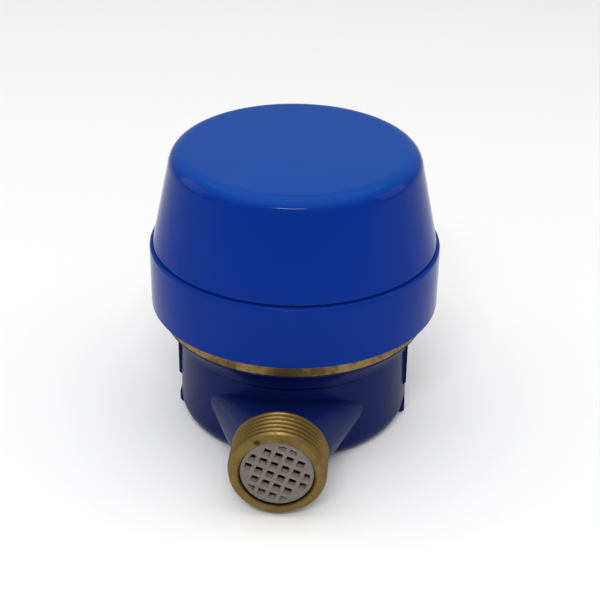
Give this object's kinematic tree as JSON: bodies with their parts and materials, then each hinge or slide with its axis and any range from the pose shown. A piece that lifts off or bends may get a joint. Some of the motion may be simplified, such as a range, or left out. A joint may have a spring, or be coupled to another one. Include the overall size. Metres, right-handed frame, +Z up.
{
  "type": "water meter",
  "caption": "Single-jet water meter: blue cast body with brass thread ports, a dry number register, and a tall hinged lid shaped as a truncated cone.",
  "frame": {"origin": "centre of the flat base, under the meter's vertical axis", "axes": "+Z up along the meter's axis, Y along the pipe with the inlet at -Y and the lid hinge at +Y"},
  "size_m": [0.082, 0.115, 0.0826],
  "materials": {
    "body_paint": "gloss navy paint on a brass casting, bare threads",
    "ring_brass": "turned brass, tarnished",
    "plate_brass": "turned brass",
    "blue_plastic": "gloss moulded plastic",
    "strainer_plastic": "matt moulded plastic",
    "steel": "ground steel",
    "impeller_plastic": "matt moulded plastic",
    "magnet": "sintered ferrite",
    "seal_rubber": "matt rubber",
    "case_plastic": "matt moulded plastic",
    "movement_plastic": "matt moulded plastic",
    "wheel_plastic": "satin moulded plastic",
    "drum_red": "satin moulded plastic with white figures",
    "drum_black": "satin moulded plastic with white figures",
    "dial_white": "printed white plastic",
    "hand_red": "satin moulded plastic",
    "lens_glass": "clear"
  },
  "bodies": {
    "frame": {"meter_body": "body_paint", "inlet_strainer": "strainer_plastic", "lower_pivot": "steel", "pressure_plate": "plate_brass", "plate_seal": "seal_rubber", "clamp_ring": "ring_brass", "register_case": "case_plastic", "movement_plate": "movement_plastic", "upper_bridge": "movement_plastic", "frame_screws": "steel", "number_shaft": "steel", "pinion_shaft": "steel", "dial_plate": "dial_white", "lens_gasket": "seal_rubber", "lens": "lens_glass", "bezel": "case_plastic", "register_housing": "blue_plastic", "hinge_pin": "steel"},
    "impeller": {"impeller": "impeller_plastic", "drive_magnet": "magnet"},
    "follower": {"follower_spindle": "wheel_plastic", "follower_magnet": "magnet"},
    "first_arbor": {"first_wheel": "wheel_plastic", "flow_star": "hand_red"},
    "second_arbor": {"second_wheel": "wheel_plastic", "pointer": "hand_red"},
    "third_arbor": {"third_wheel": "wheel_plastic"},
    "lid": {"lid": "blue_plastic"},
    "number_wheel_1": {"number_wheel_1": "drum_red"},
    "number_wheel_2": {"number_wheel_2": "drum_red"},
    "number_wheel_3": {"number_wheel_3": "drum_red"},
    "number_wheel_4": {"number_wheel_4": "drum_black"},
    "number_wheel_5": {"number_wheel_5": "drum_black"},
    "number_wheel_6": {"number_wheel_6": "drum_black"},
    "number_wheel_7": {"number_wheel_7": "drum_black"},
    "number_wheel_8": {"number_wheel_8": "drum_black"},
    "carry_pinion_1": {"carry_pinion_1": "wheel_plastic"},
    "carry_pinion_2": {"carry_pinion_2": "wheel_plastic"},
    "carry_pinion_3": {"carry_pinion_3": "wheel_plastic"},
    "carry_pinion_4": {"carry_pinion_4": "wheel_plastic"},
    "carry_pinion_5": {"carry_pinion_5": "wheel_plastic"},
    "carry_pinion_6": {"carry_pinion_6": "wheel_plastic"},
    "carry_pinion_7": {"carry_pinion_7": "wheel_plastic"}
  },
  "joints": [
    {"name": "lid_hinge", "type": "hinge", "parent": "frame", "child": "lid", "pos_m": [0, 0.0436, 0.05682], "axis": [-1, 0, 0], "range_deg": [0, 110]},
    {"name": "impeller_spin", "type": "hinge", "parent": "frame", "child": "impeller", "pos_m": [0, 0, 0.01422], "axis": [0, 0, 1], "continuous": true},
    {"name": "follower_spin", "type": "hinge", "parent": "frame", "child": "follower", "pos_m": [0, 0, 0.04522], "axis": [0, 0, 1], "continuous": true},
    {"name": "first_wheel_spin", "type": "hinge", "parent": "frame", "child": "first_arbor", "pos_m": [0.0004, -0.01199, 0.04522], "axis": [0, 0, 1], "continuous": true},
    {"name": "second_wheel_spin", "type": "hinge", "parent": "frame", "child": "second_arbor", "pos_m": [0.0124, -0.00477, 0.04702], "axis": [0, 0, 1], "continuous": true},
    {"name": "third_wheel_spin", "type": "hinge", "parent": "frame", "child": "third_arbor", "pos_m": [0.015, 0.01, 0.04522], "axis": [0, 0, 1], "continuous": true},
    {"name": "number_wheel_1_spin", "type": "hinge", "parent": "frame", "child": "number_wheel_1", "pos_m": [0, 0.01, 0.05372], "axis": [1, 0, 0], "continuous": true},
    {"name": "number_wheel_2_spin", "type": "hinge", "parent": "frame", "child": "number_wheel_2", "pos_m": [0, 0.01, 0.05372], "axis": [1, 0, 0], "continuous": true},
    {"name": "number_wheel_3_spin", "type": "hinge", "parent": "frame", "child": "number_wheel_3", "pos_m": [0, 0.01, 0.05372], "axis": [1, 0, 0], "continuous": true},
    {"name": "number_wheel_4_spin", "type": "hinge", "parent": "frame", "child": "number_wheel_4", "pos_m": [0, 0.01, 0.05372], "axis": [1, 0, 0], "continuous": true},
    {"name": "number_wheel_5_spin", "type": "hinge", "parent": "frame", "child": "number_wheel_5", "pos_m": [0, 0.01, 0.05372], "axis": [1, 0, 0], "continuous": true},
    {"name": "number_wheel_6_spin", "type": "hinge", "parent": "frame", "child": "number_wheel_6", "pos_m": [0, 0.01, 0.05372], "axis": [1, 0, 0], "continuous": true},
    {"name": "number_wheel_7_spin", "type": "hinge", "parent": "frame", "child": "number_wheel_7", "pos_m": [0, 0.01, 0.05372], "axis": [1, 0, 0], "continuous": true},
    {"name": "number_wheel_8_spin", "type": "hinge", "parent": "frame", "child": "number_wheel_8", "pos_m": [0, 0.01, 0.05372], "axis": [1, 0, 0], "continuous": true},
    {"name": "carry_pinion_1_spin", "type": "hinge", "parent": "frame", "child": "carry_pinion_1", "pos_m": [0, 0.01616, 0.05372], "axis": [1, 0, 0], "continuous": true},
    {"name": "carry_pinion_2_spin", "type": "hinge", "parent": "frame", "child": "carry_pinion_2", "pos_m": [0, 0.01616, 0.05372], "axis": [1, 0, 0], "continuous": true},
    {"name": "carry_pinion_3_spin", "type": "hinge", "parent": "frame", "child": "carry_pinion_3", "pos_m": [0, 0.01616, 0.05372], "axis": [1, 0, 0], "continuous": true},
    {"name": "carry_pinion_4_spin", "type": "hinge", "parent": "frame", "child": "carry_pinion_4", "pos_m": [0, 0.01616, 0.05372], "axis": [1, 0, 0], "continuous": true},
    {"name": "carry_pinion_5_spin", "type": "hinge", "parent": "frame", "child": "carry_pinion_5", "pos_m": [0, 0.01616, 0.05372], "axis": [1, 0, 0], "continuous": true},
    {"name": "carry_pinion_6_spin", "type": "hinge", "parent": "frame", "child": "carry_pinion_6", "pos_m": [0, 0.01616, 0.05372], "axis": [1, 0, 0], "continuous": true},
    {"name": "carry_pinion_7_spin", "type": "hinge", "parent": "frame", "child": "carry_pinion_7", "pos_m": [0, 0.01616, 0.05372], "axis": [1, 0, 0], "continuous": true}
  ],
  "couplings": [
    {"joint": "follower_spin", "follows": "impeller_spin", "ratio": 1},
    {"joint": "first_wheel_spin", "follows": "impeller_spin", "ratio": -0.2},
    {"joint": "second_wheel_spin", "follows": "impeller_spin", "ratio": 0.033333},
    {"joint": "third_wheel_spin", "follows": "impeller_spin", "ratio": -0.0066667},
    {"joint": "number_wheel_1_spin", "follows": "impeller_spin", "ratio": 0.0033333},
    {"joint": "number_wheel_2_spin", "follows": "impeller_spin", "ratio": 0.00033333},
    {"joint": "number_wheel_3_spin", "follows": "impeller_spin", "ratio": 0.000033333},
    {"joint": "number_wheel_4_spin", "follows": "impeller_spin", "ratio": 0.0000033333},
    {"joint": "number_wheel_5_spin", "follows": "impeller_spin", "ratio": 0.00000033333},
    {"joint": "number_wheel_6_spin", "follows": "impeller_spin", "ratio": 0.000000033333},
    {"joint": "number_wheel_7_spin", "follows": "impeller_spin", "ratio": 0.0000000033333},
    {"joint": "number_wheel_8_spin", "follows": "impeller_spin", "ratio": 0.00000000033333},
    {"joint": "carry_pinion_1_spin", "follows": "impeller_spin", "ratio": -0.00083333},
    {"joint": "carry_pinion_2_spin", "follows": "impeller_spin", "ratio": -0.000083333},
    {"joint": "carry_pinion_3_spin", "follows": "impeller_spin", "ratio": -0.0000083333},
    {"joint": "carry_pinion_4_spin", "follows": "impeller_spin", "ratio": -0.00000083333},
    {"joint": "carry_pinion_5_spin", "follows": "impeller_spin", "ratio": -0.000000083333},
    {"joint": "carry_pinion_6_spin", "follows": "impeller_spin", "ratio": -0.0000000083333},
    {"joint": "carry_pinion_7_spin", "follows": "impeller_spin", "ratio": -0.00000000083333}
  ]
}
